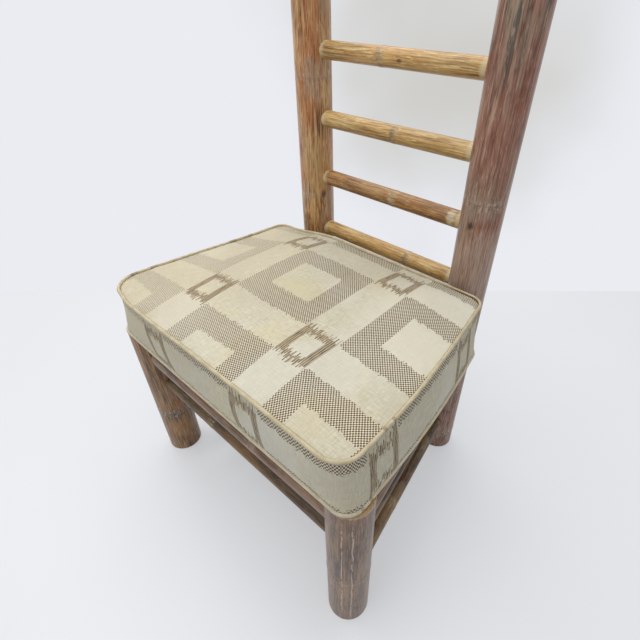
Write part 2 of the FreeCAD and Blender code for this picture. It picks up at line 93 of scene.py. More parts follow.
class Graph:
    """Short hand for building a node tree from nothing."""

    def __init__(self, owner):
        owner.use_nodes = True
        self.tree = owner.node_tree
        self.tree.nodes.clear()

    def node(self, kind, **settings):
        made = self.tree.nodes.new(kind)
        for key, value in settings.items():
            setattr(made, key, value)
        return made

    def put(self, socket, value):
        if isinstance(value, bpy.types.NodeSocket):
            self.tree.links.new(value, socket)
        else:
            socket.default_value = value

    def math(self, operation, a, b=0.0, clamp=False):
        made = self.node("ShaderNodeMath", operation=operation, use_clamp=clamp)
        self.put(made.inputs[0], a)
        self.put(made.inputs[1], b)
        return made.outputs[0]

    def vector(self, operation, a, b=(0, 0, 0)):
        made = self.node("ShaderNodeVectorMath", operation=operation)
        self.put(made.inputs[0], a)
        self.put(made.inputs[1], b)
        return made.outputs["Value" if operation in ("LENGTH", "DISTANCE") else 0]

    def distance(self, place, middle, stretch):
        """How far a place is from the middle, with each axis stretched."""
        offset = self.vector("SUBTRACT", place, middle)
        return self.vector("LENGTH", self.vector("MULTIPLY", offset, stretch))

    def split(self, value):
        made = self.node("ShaderNodeSeparateXYZ")
        self.put(made.inputs[0], value)
        return made.outputs

    def join(self, x, y, z=0.0):
        made = self.node("ShaderNodeCombineXYZ")
        for socket, value in zip(made.inputs, (x, y, z)):
            self.put(socket, value)
        return made.outputs[0]

    def noise(self, place, scale, detail=3.0, rough=0.5):
        made = self.node("ShaderNodeTexNoise", noise_dimensions="3D")
        self.put(made.inputs["Vector"], place)
        made.inputs["Scale"].default_value = scale
        made.inputs["Detail"].default_value = detail
        made.inputs["Roughness"].default_value = rough
        return made.outputs["Fac"]

    def chance(self, place):
        made = self.node("ShaderNodeTexWhiteNoise", noise_dimensions="3D")
        self.put(made.inputs["Vector"], place)
        return made.outputs["Value"]

    def wave(self, value, pitch):
        return self.math("SINE", self.math("MULTIPLY", value, 2 * math.pi / pitch))

    def fade(self, value, start, end, most=1.0):
        """0 at start, most at end, smooth between; start may be the larger."""
        made = self.node("ShaderNodeMapRange", interpolation_type="SMOOTHSTEP")
        self.put(made.inputs["Value"], value)
        made.inputs["From Min"].default_value = start
        made.inputs["From Max"].default_value = end
        made.inputs["To Max"].default_value = most
        return made.outputs[0]

    def ramp(self, value, stops, interpolation="LINEAR"):
        made = self.node("ShaderNodeValToRGB")
        bar = made.color_ramp
        bar.interpolation = interpolation
        while len(bar.elements) < len(stops):
            bar.elements.new(0.5)
        for element, (place, colour) in zip(bar.elements, stops):
            element.position = place
            element.color = (*colour, 1)
        self.put(made.inputs[0], value)
        return made.outputs[0]

    def mix(self, amount, a, b):
        made = self.node("ShaderNodeMix", data_type="RGBA")
        self.put(made.inputs[0], amount)
        for socket, value in ((made.inputs[6], a), (made.inputs[7], b)):
            self.put(socket, (*value, 1) if isinstance(value, tuple) else value)
        return made.outputs[2]

    def tint(self, colour, amount, value):
        """Multiplies a colour by a value, by an amount from 0 to 1."""
        made = self.node("ShaderNodeMix", data_type="RGBA", blend_type="MULTIPLY")
        self.put(made.inputs[0], amount)
        self.put(made.inputs[6], colour)
        self.put(made.inputs[7], (*value, 1) if isinstance(value, tuple) else value)
        return made.outputs[2]

    def bump(self, height, strength, distance):
        made = self.node("ShaderNodeBump")
        made.inputs["Strength"].default_value = strength
        made.inputs["Distance"].default_value = distance
        self.put(made.inputs["Height"], height)
        return made.outputs[0]


class Surface(Graph):
    """Node tree of a new material with one Principled shader."""

    def __init__(self, name):
        self.material = bpy.data.materials.new(name)
        super().__init__(self.material)
        self.shader = self.node("ShaderNodeBsdfPrincipled")
        self.output = self.node("ShaderNodeOutputMaterial")
        self.put(self.output.inputs["Surface"], self.shader.outputs["BSDF"])

    def finish(self, colour, roughness, normal, specular=None):
        """Wires the last values into the shader, and returns the material."""
        self.put(self.shader.inputs["Base Color"], colour)
        self.put(self.shader.inputs["Roughness"], roughness)
        self.put(self.shader.inputs["Normal"], normal)
        if specular is not None:
            self.put(self.shader.inputs["Specular IOR Level"], specular)
        return self.material


def rgb(red, green, blue):
    """Screen colour, 0 to 255, as the linear colour that a shader takes."""
    return tuple(c / 12.92 if c <= 0.04045 else ((c + 0.055) / 1.055) ** 2.4
                 for c in (red / 255, green / 255, blue / 255))


# Wood

def along_pole(graph, origin, turn):
    """Place on a pole measured from its own start, with Z along the grain."""
    coords = graph.node("ShaderNodeTexCoord")
    made = graph.node("ShaderNodeMapping", vector_type="TEXTURE")
    made.inputs["Location"].default_value = origin
    made.inputs["Rotation"].default_value = turn
    graph.put(made.inputs["Vector"], coords.outputs["Object"])
    return made.outputs[0]


def pole_material(name, origin, turn, seed, tones, accent, filler,
                  knots=(), rings=(), cracks=(), stains=(), ends=None, gloss=0.42, spread=0.09,
                  radius=POLE_RADIUS, under=0.0):
    """Limed rattan: short fibres along the pole, cloudy filler, growth rings, knots and cracks.

    tones: dark, middle and light; accent and filler: (colour, amount) of warm streaks and of
    rubbed-in lime; knots: (height, angle, size); rings: (height, strength);
    cracks: (angle, low, high); stains: (height, angle, length, width, colour, amount);
    ends: (low, high) where a rubbed rim meets the next pole, or None; gloss: mean roughness;
    spread: how far apart the dark and light tones stand; larger is calmer;
    under: how much painted shade darkens a lying bar below, where local X points down.
    """
    graph = Surface(name)
    place = along_pole(graph, origin, turn)
    x, y, z = graph.split(place)
    moved = graph.vector("ADD", place, (seed * 1.7, seed * 0.9, seed * 2.3))
    fibre = graph.noise(graph.vector("MULTIPLY", moved, (1, 1, 0.075)), 480, 3.0, 0.6)
    fleck = graph.noise(graph.vector("MULTIPLY", moved, (1, 1, 0.11)), 520, 2.0, 0.6)
    streak = graph.noise(graph.vector("MULTIPLY", moved, (1, 1, 0.07)), 190, 3.0, 0.6)
    broad = graph.noise(graph.vector("MULTIPLY", moved, (1, 1, 0.3)), 32, 3.0, 0.6)
    warm = graph.noise(graph.vector("MULTIPLY", moved, (1, 1, 0.16)), 24, 2.0, 0.55)
    cloud = graph.noise(graph.vector("MULTIPLY", moved, (1, 1, 0.45)), 22, 4.0, 0.65)
    wander = graph.math("MULTIPLY", graph.math("SUBTRACT", graph.noise(moved, 45), 0.5), 0.007)
    tone = graph.math("ADD", graph.math("MULTIPLY", fibre, 0.3),
                      graph.math("ADD", graph.math("MULTIPLY", streak, 0.4),
                                 graph.math("MULTIPLY", broad, 0.3)))
    dark, middle, light = tones
    colour = graph.ramp(tone, [(0.5 - spread, dark), (0.5, middle), (0.5 + spread, light)])
    colour = graph.mix(graph.fade(warm, 0.46, 0.6, accent[1]), colour, accent[0])
    colour = graph.mix(graph.fade(cloud, 0.47, 0.6, filler[1]), colour, filler[0])
    for stain_height, angle, length, width, stain, amount in stains:
        spot = (radius * math.cos(angle), radius * math.sin(angle), stain_height)
        away = graph.math("ADD",
                          graph.distance(place, spot, (1 / width, 1 / width, 1 / length)),
                          graph.math("MULTIPLY", graph.math("SUBTRACT", streak, 0.5), 2.2))
        colour = graph.mix(graph.fade(away, 1.05, 0.55, amount), colour, stain)
    pale = tuple(min(1.0, c * 1.35 + 0.05) for c in light)
    colour = graph.mix(graph.fade(fleck, 0.57, 0.7, 0.5), colour, pale)
    colour = graph.tint(colour, graph.fade(fibre, 0.46, 0.33, 0.054 / spread), (0.5, 0.42, 0.36))
    # fine dark and light lines along the grain
    hair = graph.noise(graph.vector("MULTIPLY", moved, (1, 1, 0.035)), 520, 1.5, 0.5)
    colour = graph.tint(colour, graph.fade(hair, 0.47, 0.36, 0.6), (0.52, 0.4, 0.3))
    colour = graph.mix(graph.fade(hair, 0.57, 0.68, 0.25), colour, pale)
    scratch = graph.noise(graph.vector("MULTIPLY", moved, (1, 1, 0.4)), 300, 2.0, 0.6)
    height = graph.math("MULTIPLY", fibre, 0.8)
    bent = graph.math("ADD", z, wander)
    # growth rings: a sunk broken line, lime beside it and scars across it
    for ring, strength in rings:
        off = graph.math("SUBTRACT", bent, ring)
        broken = graph.fade(graph.noise(moved, 95, 2.0), 0.36, 0.56)
        line = graph.fade(graph.math("ABSOLUTE", off), 0.0022, 0.0004)
        line = graph.math("MULTIPLY", line, broken)
        halo = graph.fade(graph.math("ABSOLUTE", graph.math("SUBTRACT", off, 0.003)),
                          0.011, 0.001, 0.5 * strength)
        colour = graph.mix(halo, colour, filler[0])
        scar = graph.fade(graph.math("ABSOLUTE", off), 0.02, 0.003)
        dark_scar = graph.math("MULTIPLY", scar, graph.fade(scratch, 0.48, 0.36))
        colour = graph.tint(colour, graph.math("MULTIPLY", dark_scar, 0.8 * strength),
                            (0.5, 0.44, 0.4))
        light_scar = graph.math("MULTIPLY", scar, graph.fade(scratch, 0.56, 0.66))
        colour = graph.mix(graph.math("MULTIPLY", light_scar, 0.7 * strength), colour,
                           rgb(206, 190, 168))
        colour = graph.tint(colour, graph.math("MULTIPLY", line, 0.7 * strength ** 2.5),
                            (0.36, 0.3, 0.26))
        height = graph.math("SUBTRACT", height, graph.math("MULTIPLY", line, 1.2 * strength ** 2))
    for knot_height, angle, size in knots:
        spot = (radius * math.cos(angle), radius * math.sin(angle), knot_height)
        away = graph.math("ADD", graph.distance(place, spot, (1, 1, 0.6)),
                          graph.math("MULTIPLY", wander, 0.8))
        colour = graph.tint(colour, graph.fade(away, size, size * 0.3, 0.85), (0.2, 0.16, 0.14))
        height = graph.math("SUBTRACT", height, graph.fade(away, size * 0.7, size * 0.2))
    for angle, low, high in cracks:
        side = graph.math("ADD", graph.math("MULTIPLY", x, -math.sin(angle)),
                          graph.math("MULTIPLY", y, math.cos(angle)))
        side = graph.math("ADD", side, graph.math("MULTIPLY", wander, 0.9))
        facing = graph.math("ADD", graph.math("MULTIPLY", x, math.cos(angle)),
                            graph.math("MULTIPLY", y, math.sin(angle)))
        line = graph.fade(graph.math("ABSOLUTE", side), 0.0013, 0.0003)
        line = graph.math("MULTIPLY", line, graph.fade(facing, 0.0, 0.01))
        line = graph.math("MULTIPLY", line, graph.fade(z, low, low + 0.03))
        line = graph.math("MULTIPLY", line, graph.fade(z, high, high - 0.03))
        line = graph.math("MULTIPLY", line, graph.fade(graph.noise(moved, 60), 0.36, 0.52))
        colour = graph.mix(graph.math("MULTIPLY", line, 0.65), colour, rgb(202, 190, 172))
    if ends:
        reach = graph.math("MINIMUM", graph.math("SUBTRACT", z, ends[0]),
                           graph.math("SUBTRACT", ends[1], z))
        rim = graph.fade(graph.math("ADD", reach, wander), 0.009, 0.001, 0.7)
        colour = graph.mix(rim, colour, rgb(212, 194, 154))
    # painted shade: a lying bar is coloured darker on its underside, where local X points down
    if under:
        below = graph.fade(graph.math("ADD", x, wander), radius * 0.1, radius, under)
        colour = graph.tint(colour, below, (0.42, 0.34, 0.24))
    graph.shader.inputs["Coat Weight"].default_value = 0.2
    graph.shader.inputs["Coat Roughness"].default_value = 0.2
    rough = graph.math("ADD", graph.math("MULTIPLY", cloud, 0.25), gloss - 0.125)
    return graph.finish(colour, rough, graph.bump(height, 0.4, 0.0006), 0.35)


def board_material(name, tones, scale, seed):
    """Planed softwood or plywood: straight grain along Y."""
    graph = Surface(name)
    coords = graph.node("ShaderNodeTexCoord").outputs["Object"]
    moved = graph.vector("ADD", coords, (seed, seed, seed))
    long_grain = graph.vector("MULTIPLY", moved, (1.0, 0.05, 1.0))
    grain = graph.noise(long_grain, scale, 4.0, 0.6)
    ply = graph.math("SINE", graph.math("MULTIPLY", graph.split(coords)[2], 1750))
    colour = graph.ramp(grain, [(0.3, tones[0]), (0.5, tones[1]), (0.7, tones[2])])
    colour = graph.tint(colour, graph.fade(ply, -0.2, 0.6, 0.12), (0.6, 0.5, 0.4))
    rough = graph.math("ADD", graph.math("MULTIPLY", grain, 0.2), 0.55)
    return graph.finish(colour, rough, graph.bump(grain, 0.3, 0.0004))


def screw_material(name):
    graph = Surface(name)
    coords = graph.node("ShaderNodeTexCoord").outputs["Object"]
    wear = graph.noise(coords, 900, 3.0, 0.6)
    colour = graph.ramp(wear, [(0.3, rgb(150, 148, 140)), (0.7, rgb(196, 194, 188))])
    graph.shader.inputs["Metallic"].default_value = 1.0
    rough = graph.math("ADD", graph.math("MULTIPLY", wear, 0.3), 0.25)
    return graph.finish(colour, rough, graph.bump(wear, 0.2, 0.0002))


def show(node, material):
    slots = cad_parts[node].data.materials
    slots.clear()
    slots.append(material)


MAUVE = (rgb(68, 45, 26), rgb(104, 77, 50), rgb(141, 110, 77))
BRICK = rgb(148, 88, 64)
LIME = rgb(156, 136, 118)
TAN = (rgb(122, 82, 44), rgb(178, 133, 84), rgb(208, 172, 122))
STRAW = (rgb(124, 88, 38), rgb(184, 147, 86), rgb(218, 190, 134))
STRAW_LIME = rgb(182, 160, 118)
HONEY = (rgb(40, 25, 5), rgb(75, 51, 13), rgb(113, 84, 30))
RUSSET = (rgb(94, 58, 24), rgb(146, 100, 50), rgb(184, 144, 88))


def dress_uprights():
    """Posts and legs, each with its own knots, growth rings, cracks and stains."""
    level = (0, 0, 0)
    show("back_post_left", pole_material(
        "post_left_wood", (-POST_X, POST_Y, 0), level, 1.0, TAN, (rgb(176, 108, 62), 0.6),
        (rgb(176, 152, 128), 0.6), knots=((0.511, -0.42, 0.007), (0.86, -1.2, 0.005)),
        rings=((0.048, 1.0), (0.505, 0.5), (0.722, 0.55)), spread=0.075,
        stains=((0.57, -0.7, 0.06, 0.03, rgb(196, 158, 104), 0.6),)))
    show("back_post_right", pole_material(
        "post_right_wood", (POST_X, POST_Y, 0), level, 2.0,
        (rgb(90, 60, 46), rgb(136, 100, 82), rgb(168, 136, 116)), (BRICK, 0.6), (LIME, 0.5),
        knots=((0.555, -1.6, 0.006),), rings=((0.048, 1.0), (0.59, 0.65)),
        stains=((0.85, -1.5, 0.085, 0.011, rgb(140, 134, 112), 0.6),
                (0.795, -1.4, 0.055, 0.005, rgb(70, 62, 54), 0.75),
                (0.88, -0.25, 0.045, 0.012, rgb(62, 52, 46), 0.75),
                (0.675, -0.95, 0.09, 0.035, rgb(140, 84, 62), 0.5),
                (0.585, -1.3, 0.03, 0.03, rgb(170, 152, 138), 0.5),
                (0.475, -1.1, 0.075, 0.06, rgb(176, 152, 138), 0.8))))
    show("front_leg_right", pole_material(
        "leg_right_wood", (LEG_X, LEG_Y, 0), level, 3.0,
        (rgb(57, 34, 15), rgb(100, 68, 39), rgb(138, 103, 66)), (rgb(134, 82, 54), 0.5),
        (rgb(148, 118, 90), 0.35), knots=((0.105, -1.74, 0.005),), rings=((0.146, 0.25),),
        cracks=((-0.73, 0.0, 0.34), (-1.17, 0.02, 0.34)),
        stains=((0.342, -0.2, 0.006, 0.06, rgb(190, 158, 110), 0.7),), gloss=0.34,
        spread=0.075))
    show("front_leg_left", pole_material(
        "leg_left_wood", (-LEG_X, LEG_Y, 0), level, 4.0,
        (rgb(78, 52, 28), rgb(124, 91, 55), rgb(164, 129, 85)), (rgb(150, 94, 52), 0.55),
        (LIME, 0.3), knots=((0.29, -0.5, 0.006),), rings=((0.122, 1.0),),
        stains=((0.118, -0.3, 0.016, 0.05, rgb(92, 80, 66), 0.7),
                (0.07, -0.3, 0.03, 0.04, rgb(168, 124, 80), 0.5))))


def dress_bar(node, start, height, span, seed, heading, tones, accent, filler, ring,
              knots=(), ends=None, stains=()):
    """A lying bar from start, along heading; ring: (share of its span, strength)."""
    turn = (0, math.pi / 2, heading)
    share, strength = ring
    spread = 0.12 if tones in (STRAW, RUSSET) else 0.08
    # painted shade: the rungs, which have ends, are coloured darker underneath than the other bars
    show(node, pole_material(f"{node}_wood", (start[0], start[1], height), turn, seed, tones,
                             accent, filler, rings=((span * share, strength),), knots=knots,
                             stains=stains, ends=ends, spread=spread, radius=RUNG_RADIUS,
                             under=0.6 if ends else 0.3))


def dress_bars():
    legs = 2 * LEG_X
    posts = 2 * POST_X
    side = math.hypot(LEG_X - POST_X, POST_Y - LEG_Y)
    front, back = (-LEG_X, LEG_Y), (-POST_X, POST_Y)
    accents = ((rgb(196, 152, 86), 0.5), (rgb(150, 98, 48), 0.7), (rgb(188, 150, 86), 0.5),
               (rgb(204, 156, 92), 0.5), (rgb(196, 152, 86), 0.5), (rgb(178, 128, 74), 0.5))
    for index, share in enumerate((0.65, 0.54, 0.52, 0.425, 0.58, 0.43)):
        node = f"ladder_rung_{index + 1}"
        knots = ((posts * 0.535, -1.5, 0.0045),) if index == 3 else ()
        smudge = (rgb(112, 88, 58), 0.75) if index in (0, 2) else (rgb(150, 132, 106), 0.6)
        stains = ((posts * share, -1.85, 0.007, 0.012, *smudge),)
        if index == 1:
            stains += ((posts - 0.047, -1.9, 0.009, 0.016, rgb(206, 194, 168), 0.8),)
        dress_bar(node, back, centre(node).z, posts, 10 + index, 0,
                  RUSSET if index == 1 else STRAW, accents[index], (STRAW_LIME, 0.3),
                  (share, 0.65), knots=knots, ends=(POLE_RADIUS, posts - POLE_RADIUS),
                  stains=stains)
    for node, start, span in (("seat_rail_front", front, legs), ("seat_rail_back", back, posts)):
        dress_bar(node, start, centre(node).z, span, 20 + span, 0, MAUVE, (BRICK, 0.4),
                  (LIME, 0.45), (0.63, 0.6))
    for node, start, span in (("front_stretcher", front, legs), ("back_stretcher", back, posts)):
        dress_bar(node, start, centre(node).z, span, 24 + span, 0, HONEY, (rgb(150, 104, 48), 0.4),
                  (rgb(126, 104, 70), 0.25), (0.36, 0.7))
    for side_sign, name in ((-1, "left"), (1, "right")):
        heading = math.pi / 2 + side_sign * SLANT
        start = (side_sign * LEG_X, LEG_Y)
        for node, tones, filler, share in (
                (f"seat_rail_{name}", MAUVE, LIME, 0.63),
                (f"middle_stretcher_{name}", HONEY, STRAW_LIME, 0.63),
                (f"lower_stretcher_{name}", HONEY, STRAW_LIME, 0.36)):
            dress_bar(node, start, centre(node).z, side, 30 + 3 * side_sign + len(node), heading,
                      tones, (BRICK, 0.35), (filler, 0.35), (share, 0.6))


def dress_hidden_pieces():
    bearer = board_material("bearer_softwood",
                            (rgb(92, 66, 42), rgb(122, 92, 62), rgb(146, 116, 82)), 90, 3)
    for node in ("seat_bearer_left", "seat_bearer_right"):
        show(node, bearer)
    show("seat_deck", board_material(
        "deck_ply", (rgb(176, 142, 100), rgb(208, 178, 136), rgb(226, 202, 164)), 60, 7))
    steel = screw_material("screw_steel_finish")
    for node in ("bearer_screws", "deck_screws"):
        show(node, steel)


# Cushion outline

# Share of the boxing's height and the height of each seam
SEAMS = ((0, BOTTOM_WELT_Z), (1, TOP_WELT_Z))
# How many places stand for a seam, and for the middle of the boxing
SEAM_COUNT = 700
RUN_COUNT = 900


def plan(level):
    """Front edge, back edge, half widths there, at a share of the boxing's height."""
    reach, depth, front, back = (b * (1 - level) + t * level
                                 for b, t in zip(BOTTOM_PLAN, TOP_PLAN))
    y_front = LEG_Y - reach
    return y_front, y_front + depth, front / 2, back / 2


def outline(level, inset, count):
    """Points round the cushion, anticlockwise from the middle of the back, evenly spaced."""
    y_front, y_back, half_front, half_back = plan(level)
    slope = (half_back - half_front) / (y_back - y_front)
    sideways = inset * math.hypot(1, slope)
    y0, y1 = y_front + inset, y_back - inset
    x0 = half_front + slope * inset - sideways
    x1 = half_back - slope * inset - sideways
    grow = 0.25 * abs(inset)
    left, right = (b * (1 - level) + t * level for b, t in (LEFT_CORNER, RIGHT_CORNER))
    corners = [(-x1, y1, BACK_CORNER + grow), (-x0, y0, left + grow),
               (x0, y0, right + grow), (x1, y1, BACK_CORNER + grow)]
    dense = [np.array([0.0, y1])]
    for index, (cx, cy, radius) in enumerate(corners):
        here = np.array([cx, cy])
        into = np.array(corners[index - 1][:2]) - here
        out = np.array(corners[(index + 1) % 4][:2]) - here
        into /= np.linalg.norm(into)
        out /= np.linalg.norm(out)
        half = math.acos(float(into @ out)) / 2
        bisector = (into + out) / np.linalg.norm(into + out)
        middle = here + bisector * radius / math.sin(half)
        a = here + into * radius / math.tan(half) - middle
        b = here + out * radius / math.tan(half) - middle
        sweep = math.pi - 2 * half
        for share in np.linspace(0, 1, 13):
            weight_a = math.sin((1 - share) * sweep) / math.sin(sweep)
            weight_b = math.sin(share * sweep) / math.sin(sweep)
            dense.append(middle + a * weight_a + b * weight_b)
    dense.append(np.array([0.0, y1]))
    dense = np.array(dense)
    run = np.concatenate([[0], np.cumsum(np.linalg.norm(np.diff(dense, axis=0), axis=1))])
    places = np.linspace(0, run[-1], count, endpoint=False)
    return np.stack([np.interp(places, run, dense[:, i]) for i in (0, 1)], axis=1), run[-1]


def gentle(value, start, end):
    """0 at start, 1 at end, smooth between, for an array."""
    share = np.clip((value - start) / (end - start), 0, 1)
    return share * share * (3 - 2 * share)


def sway(points):
    """Bow of the right side, sag of the left edge and slow unevenness, shared with the welts."""
    moved = points.copy()
    y_front, y_back, _, _ = plan(0.5)
    x, y, z = points.T
    back = np.clip((y - y_front) / (y_back - y_front), 0, 1)
    moved[:, 0] += BOW * np.sin(math.pi * back) * gentle(x, 0.08, 0.25)
    drop = SAG[0] + (SAG[1] - SAG[0]) * back ** 0.6
    lifted = np.clip((z - DECK_TOP) / (TOP_WELT_Z - DECK_TOP), 0, 1)
    moved[:, 2] -= drop * gentle(-x, 0.08, 0.23) * lifted
    away = np.hypot(x + plan(1)[2] - 0.013, y - y_front - 0.013)
    pull = gentle(away, CORNER_REACH, 0.0) * lifted
    moved[:, 0] += CORNER_PULL[0] * pull
    moved[:, 1] += CORNER_PULL[1] * pull
    for index, (x, y, z) in enumerate(points):
        spot = Vector((x * 7.0 + 3.1, y * 7.0 - 1.7, z * 5.0 + 0.4))
        free = min(1.0, max(0.0, (z - DECK_TOP - 0.012) / 0.04))
        drift = np.array([noise.noise(spot + place) for place in DRIFT_PLACES])
        moved[index] += drift * DRIFT * free
    return moved


def mesh_object(name, vertices, faces, material, smooth=True):
    mesh = bpy.data.meshes.new(name)
    mesh.from_pydata([tuple(v) for v in vertices], [], faces)
    mesh.materials.append(material)
    mesh.polygons.foreach_set("use_smooth", [smooth] * len(mesh.polygons))
    mesh.update()
    piece = bpy.data.objects.new(name, mesh)
    bpy.context.scene.collection.objects.link(piece)
    return piece


# Woven cloth: half sizes across and up of its figures, and its repeats, in metres

REPEAT = 0.2215
FRINGED_HALF = (0.0285, 0.0335)
FRINGED_HOLE_HALF = (0.0165, 0.0200)
DOTTED_HALF = (0.0805, 0.0805)
DOTTED_HEART_HALF = (0.043, 0.0395)
DOT_PITCH = (0.00405, 0.00486)
COMB_PITCH = 0.0032
THREAD_PITCH = 0.0019
CORD_TWILL_PITCH = 0.0022
# Middles of the spill and of the paler area on the right
SPILL = (0.116, 0.088, 0)
PALE_PATCH = (0.31, 0.16, 0)
# Where the pattern starts on the top, and how it lies on the boxing
TOP_SHIFT = (0.107, -0.0685)
BOXING_MIDDLE_Z = 0.3915
BOXING_SHRINK = 0.84

CREAM_DARK = rgb(181, 175, 154)
CREAM = rgb(196, 190, 169)
CREAM_LIGHT = rgb(210, 206, 189)
TAUPE = rgb(150, 129, 96)
TAUPE_DARK = rgb(88, 70, 46)
DOT = rgb(88, 66, 38)


def cloth_material():
    """Cream ground, dotted hollow squares and fringed brown hollow squares between them."""
    graph = Surface("cushion_weave")
    place = graph.node("ShaderNodeUVMap", uv_map="weave").outputs[0]
    u, v, _ = graph.split(place)

    def wrapped(value):
        made = graph.node("ShaderNodeMath", operation="WRAP")
        graph.put(made.inputs[0], value)
        made.inputs[1].default_value = REPEAT / 2
        made.inputs[2].default_value = -REPEAT / 2
        return made.outputs[0]

    def ragged(cell, amount, seed):
        """Uneven thread ends: one step for each group of threads."""
        step = graph.math("FLOOR", graph.math("DIVIDE", u, cell))
        row = graph.math("FLOOR", graph.math("DIVIDE", v, REPEAT / 4))
        pick = graph.chance(graph.join(step, row, seed))
        return graph.math("MULTIPLY", graph.math("SUBTRACT", pick, 0.5), amount)

    across = graph.math("ABSOLUTE", wrapped(u))
    up = graph.math("ABSOLUTE", wrapped(v))

    def inside(value, limit):
        return graph.fade(graph.math("SUBTRACT", value, limit), 0.0005, -0.0005)

    fringe = graph.math("ADD", ragged(0.0016, 0.015, 1.0), ragged(0.0048, 0.006, 2.0))
    small_fringe = ragged(0.0030, 0.005, 5.0)
    # fringed brown hollow square at the crossings of the plain bands
    outer = graph.math("MULTIPLY", inside(across, FRINGED_HALF[0]),
                       inside(graph.math("ADD", up, fringe), FRINGED_HALF[1]))
    hole_up = graph.math("ADD", up, graph.math("MULTIPLY", fringe, 0.8))
    hole = graph.math("MULTIPLY", inside(across, FRINGED_HOLE_HALF[0]),
                      inside(hole_up, FRINGED_HOLE_HALF[1]))
    bars = graph.math("SUBTRACT", outer, hole, clamp=True)
    # large dotted hollow square between the plain bands
    far_u = graph.math("SUBTRACT", REPEAT / 2, across)
    far_v = graph.math("ADD", graph.math("SUBTRACT", REPEAT / 2, up), small_fringe)
    big = graph.math("MULTIPLY", inside(far_u, DOTTED_HALF[0]), inside(far_v, DOTTED_HALF[1]))
    heart = graph.math("MULTIPLY", inside(far_u, DOTTED_HEART_HALF[0]),
                       inside(far_v, DOTTED_HEART_HALF[1]))
    dotted = graph.math("SUBTRACT", big, heart, clamp=True)
    check = graph.math("MULTIPLY", graph.wave(u, DOT_PITCH[0]), graph.wave(v, DOT_PITCH[1]))
    dots = graph.math("MULTIPLY", graph.fade(check, -0.12, 0.1), dotted)
    # threads: slubs run both ways, as a small grid
    warp = graph.noise(graph.vector("MULTIPLY", place, (1, 0.08, 1)), 700, 2.0, 0.6)
    weft = graph.noise(graph.vector("MULTIPLY", place, (0.08, 1, 1)), 700, 2.0, 0.6)
    grid = graph.math("ADD", graph.math("MULTIPLY", warp, 0.5), graph.math("MULTIPLY", weft, 0.5))
    wear = graph.noise(place, 9, 3.0, 0.6)
    ground = graph.ramp(grid, [(0.36, CREAM_DARK), (0.5, CREAM), (0.62, CREAM_LIGHT)])
    ground = graph.mix(graph.fade(wear, 0.5, 0.66, 0.2), ground, rgb(204, 190, 142))
    # an old spill in the middle of the seat
    away = graph.math("ADD", graph.distance(place, SPILL, (1 / 0.052, 1 / 0.034, 0)),
                      graph.math("MULTIPLY", graph.math("SUBTRACT", wear, 0.5), 1.6))
    ground = graph.mix(graph.fade(away, 1.25, 0.35, 0.45), ground, rgb(194, 186, 148))
    # paler and darker areas, a yellowed left side and a paler right side
    zone = graph.noise(place, 6.0, 1.0)
    ground = graph.mix(graph.fade(zone, 0.52, 0.64, 0.5), ground, rgb(210, 208, 198))
    ground = graph.mix(graph.fade(zone, 0.46, 0.36, 0.4), ground, rgb(192, 183, 163))
    ground = graph.mix(graph.fade(u, 0.12, -0.08, 0.55), ground, rgb(194, 183, 158))
    pale_patch = graph.fade(graph.distance(place, PALE_PATCH, (1 / 0.1, 1 / 0.16, 0)), 1.2, 0.5, 0.6)
    ground = graph.mix(pale_patch, ground, rgb(218, 215, 200))
    ground = graph.mix(graph.math("MULTIPLY", dotted, 0.4), ground, rgb(228, 222, 202))
    brown = graph.ramp(warp, [(0.42, TAUPE_DARK), (0.58, TAUPE)])
    # the dots are worn pale on the left
    strong = graph.math("ADD", 0.64, graph.fade(u, -0.12, 0.2, 0.32))
    colour = graph.mix(graph.math("MULTIPLY", dots, strong), ground, DOT)
    comb = graph.wave(u, COMB_PITCH)
    rib = graph.math("ADD", 0.5, graph.fade(comb, -0.4, 0.3, 0.5))
    colour = graph.mix(graph.math("MULTIPLY", bars, rib), colour, brown)
    colour = graph.tint(colour, 0.3, graph.ramp(wear, [(0.3, (0.8, 0.79, 0.76)), (0.6, (1, 1, 1))]))
    plain = graph.math("MULTIPLY", graph.wave(u, THREAD_PITCH), graph.wave(v, THREAD_PITCH))
    height = graph.math("ADD", graph.math("MULTIPLY", plain, 0.25),
                        graph.math("MULTIPLY", check, graph.math("MULTIPLY", dotted, 0.6)))
    height = graph.math("ADD", height, graph.math("MULTIPLY", grid, 2.0))
    graph.shader.inputs["Sheen Weight"].default_value = 0.1
    rough = graph.math("ADD", 0.82, graph.math("MULTIPLY", wear, 0.15))
    return graph.finish(colour, rough, graph.bump(height, 0.5, 0.0006), 0.2)


